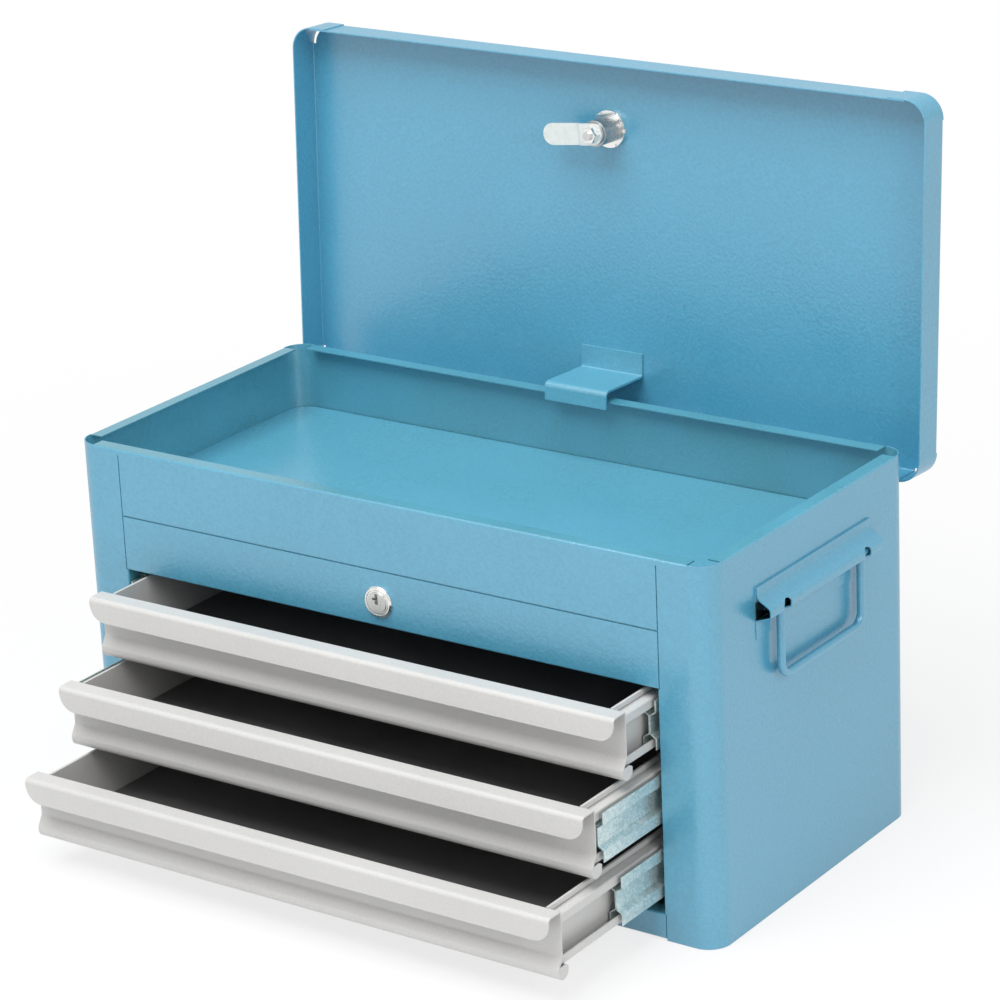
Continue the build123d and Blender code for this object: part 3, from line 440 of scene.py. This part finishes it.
# ---------------------------------------------------------------- handles
# Each bail is a bent steel wire hung under a folded hood, which is spot-welded with its backing
# plate to the side wall. All of it is painted with the cabinet; behind the hood, where the shade is
# deep, a painted shade turns the steel near black.
# Colour of the painted shade in the pocket behind the hood
POCKET_SHADE_COLOUR = (0.004, 0.012, 0.016)
# How far below its top the hood leaves the plate, and over what height the painted shade fades out
POCKET_TOP = 0.0085
POCKET_FADE = (0.001, 0.002)
# How far a face has turned to the wall, where the painted shade starts and where it is full
WALL_TURN = (-0.15, -0.3)


def pocket_shade_painted(name, choose):
    """The cabinet's paint, darkened to a painted shade where `choose` says."""
    made = blue_paint.copy()
    made.name = name
    tree = made.node_tree
    shader = tree.nodes["Principled BSDF"]
    painted = shader.inputs["Base Color"].links[0].from_socket
    wire(tree, mixed(tree, choose(tree), painted, (*POCKET_SHADE_COLOUR, 1)), shader.inputs["Base Color"])
    return made


def turned_to_wall(tree):
    """1 on faces that look back at the side wall, on either side of the box."""
    across = add(tree, "SeparateXYZ", {0: add(tree, "NewGeometry").outputs["True Normal"]})
    here = add(tree, "SeparateXYZ", {0: add(tree, "TexCoord").outputs["Object"]})
    side_of_box = add(tree, "Math", {0: here.outputs[0]}, operation="SIGN")
    outward = maths(tree, "MULTIPLY", across.outputs[0], side_of_box.outputs[0])
    return ramp(tree, outward, *WALL_TURN)


def under_hood(tree):
    """1 between the hood's floor and the height where it leaves the plate."""
    hood_low, hood_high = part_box("right_handle_hood")
    floor, top = hood_low[2], hood_high[2] - POCKET_TOP
    height = add(tree, "SeparateXYZ", {0: add(tree, "TexCoord").outputs["Object"]}).outputs[2]
    above = ramp(tree, height, floor, floor + POCKET_FADE[0])
    below = ramp(tree, height, top, top - POCKET_FADE[1])
    return maths(tree, "MULTIPLY", above, below)


# Painted shade inside the hood's pocket and on the plate behind it
hood_shade_painted = pocket_shade_painted("blue_hood_shade_painted", turned_to_wall)
plate_shade_painted = pocket_shade_painted("blue_plate_shade_painted", under_hood)
for side in ("left", "right"):
    dress(hood_shade_painted, f"{side}_handle_hood")
    dress(plate_shade_painted, f"{side}_handle_backing")
    dress(blue_paint, f"{side}_bail")

# ---------------------------------------------------------------- locks
# Two cylinder locks with nickel-chrome housings: one in the lock rail works the drawer catch, one
# in the lid swings its cam under the tray's front rim. The cams are stamped and bright zinc plated.
NICKEL = (0.93, 0.925, 0.905)
NICKEL_GLOSS = (0.10, 0.22)
NICKEL_DEPTH = 0.00001
THREAD_NICKEL = (0.50, 0.51, 0.51)
THREAD_GLOSS = (0.22, 0.36)
THREAD_PITCH = 0.001
THREAD_DEPTH = 0.0002
THREAD_RELIEF = 0.6
PLUG_GREY = (0.74, 0.75, 0.73)
PLUG_GLOSS = (0.26, 0.4)
PLUG_DEPTH = 0.00002
CAM_LIGHT = (0.84, 0.875, 0.865)
CAM_DARK = (0.74, 0.785, 0.775)
CAM_GLOSS = (0.3, 0.4)
CAM_SPANGLE = 0.004
# Pitch of the polished grain, how strongly it shows, how much darker worn spots are, and the part
# of the shine's noise over which the metal dulls
POLISH_GRAIN = 0.0003
POLISH_RELIEF = 0.4
WORN_SHARE = 0.86
WORN_SPREAD = (0.3, 0.7)
# Length over which Blender's wave texture repeats at a scale of 1
WAVE_LENGTH = math.pi / 10


def bright_metal(name, colour, gloss, grain_depth, thread=False):
    """Polished or ground metal with a fine grain, and a thread's turns where it has one."""
    made, tree, shader, place = new_finish(name, gloss[0], metallic=1.0)
    grain = add(tree, "Group", {"Vector": place, "Pitch": POLISH_GRAIN}, node_tree=metal_grain)
    shine = grain.outputs["Shine"]
    worn = tuple(WORN_SHARE * part for part in colour)
    wire(tree, mixed(tree, shine, (*colour, 1), (*worn, 1)), shader.inputs["Base Color"])
    wire(tree, ramp(tree, shine, *WORN_SPREAD, *gloss), shader.inputs["Roughness"])
    normal = relief(tree, grain.outputs["Height"], grain_depth, POLISH_RELIEF,
                    rounded_edges(tree)["Normal"])
    if thread:
        turns = add(tree, "TexWave", {"Vector": place, "Scale": WAVE_LENGTH / THREAD_PITCH},
                    bands_direction="Y")
        normal = relief(tree, turns.outputs["Fac"], THREAD_DEPTH, THREAD_RELIEF, normal)
    wire(tree, normal, shader.inputs["Normal"])
    return made


nickel = bright_metal("nickel_chrome_plate", NICKEL, NICKEL_GLOSS, NICKEL_DEPTH)
threaded = bright_metal("threaded_nickel", THREAD_NICKEL, THREAD_GLOSS, NICKEL_DEPTH, thread=True)
plug_metal = bright_metal("satin_plug", PLUG_GREY, PLUG_GLOSS, PLUG_DEPTH)
cam_zinc = zinc_plate("cam_zinc_plate", CAM_DARK, CAM_LIGHT, CAM_SPANGLE, CAM_GLOSS)
dress(nickel, "drawer_lock_housing", "drawer_lock_nut", "drawer_lock_cam_nut", "lid_lock_nut",
      "lid_lock_cam_nut")
dress(threaded, "lid_lock_housing")
dress(plug_metal, "drawer_lock_plug", "lid_lock_plug")
dress(cam_zinc, "drawer_lock_cam", "lid_lock_cam")

# ---------------------------------------------------------------- slides
# Each drawer runs on a pair of telescopic slides: rolled strip channels, zinc plated after
# rolling, the fixed runner spot-welded to the cabinet's inner panel.
DRAWERS = ("upper", "middle", "lower")
for side in ("left", "right"):
    for drawer in DRAWERS:
        dress(zinc, f"{side}_{drawer}_cabinet_runner", f"{side}_{drawer}_slide_member")

# ---------------------------------------------------------------- drawers
# A drawer is a folded tray with a roll-formed front: hanging grip, plate and rolled bead. It is
# sprayed light grey, smoother than the cabinet, and a thin black rubber mat covers its floor.
GREY = (0.565, 0.560, 0.548)
# Paler where the coat lies thinner, and a painted highlight on the drawers' edges
GREY_CLOUD_AND_EDGE_HIGHLIGHT = (0.62, 0.615, 0.60)
GREY_DIMPLES = (0.0012, 0.00003, 0.03)
GREY_GLOSS = (0.32, 0.42)
GREY_SPECULAR = 0.5
GREY_INDEX = 1.5
MAT_BLACK = (0.145, 0.143, 0.145)
MAT_DUSTY = (0.185, 0.182, 0.182)
MAT_GLOSS = (0.6, 0.82)
MAT_SPECULAR = 0.4
MAT_INDEX = 1.45
# Pitch and depth of the mat's grain, and how strongly it shows
MAT_GRAIN = 0.0009
MAT_DEPTH = 0.00012
MAT_RELIEF = 0.7
# Scale, detail and roughness of the dust, and the part of it that greys and that dulls the mat
DUST_NOISE = (14.0, 4.0, 0.6)
DUST_GREYS = (0.45, 0.75)
DUST_DULLS = (0.3, 0.7)

grey_paint = stoving_paint("grey_stoving_paint", GREY, GREY_CLOUD_AND_EDGE_HIGHLIGHT, GREY_DIMPLES, GREY_GLOSS,
                           GREY_SPECULAR, GREY_INDEX)


def mat_rubber(name):
    """Thin black rubber with a leather-like grain and a little dust on it."""
    made, tree, shader, place = new_finish(name, MAT_GLOSS[0], index=MAT_INDEX,
                                           specular=MAT_SPECULAR)
    grain = add(tree, "TexVoronoi", {"Vector": place, "Scale": 1 / MAT_GRAIN})
    dust = noise(tree, place, *DUST_NOISE)
    dusty = ramp(tree, dust, *DUST_GREYS)
    wire(tree, mixed(tree, dusty, (*MAT_BLACK, 1), (*MAT_DUSTY, 1)), shader.inputs["Base Color"])
    wire(tree, ramp(tree, dust, *DUST_DULLS, *MAT_GLOSS), shader.inputs["Roughness"])
    pressed = relief(tree, grain.outputs["Distance"], MAT_DEPTH, MAT_RELIEF)
    wire(tree, pressed, shader.inputs["Normal"])
    return made


rubber_mat = mat_rubber("black_rubber_mat")
for drawer in DRAWERS:
    dress(grey_paint, f"{drawer}_drawer_box", f"{drawer}_drawer_front")
    dress(rubber_mat, f"{drawer}_drawer_liner")
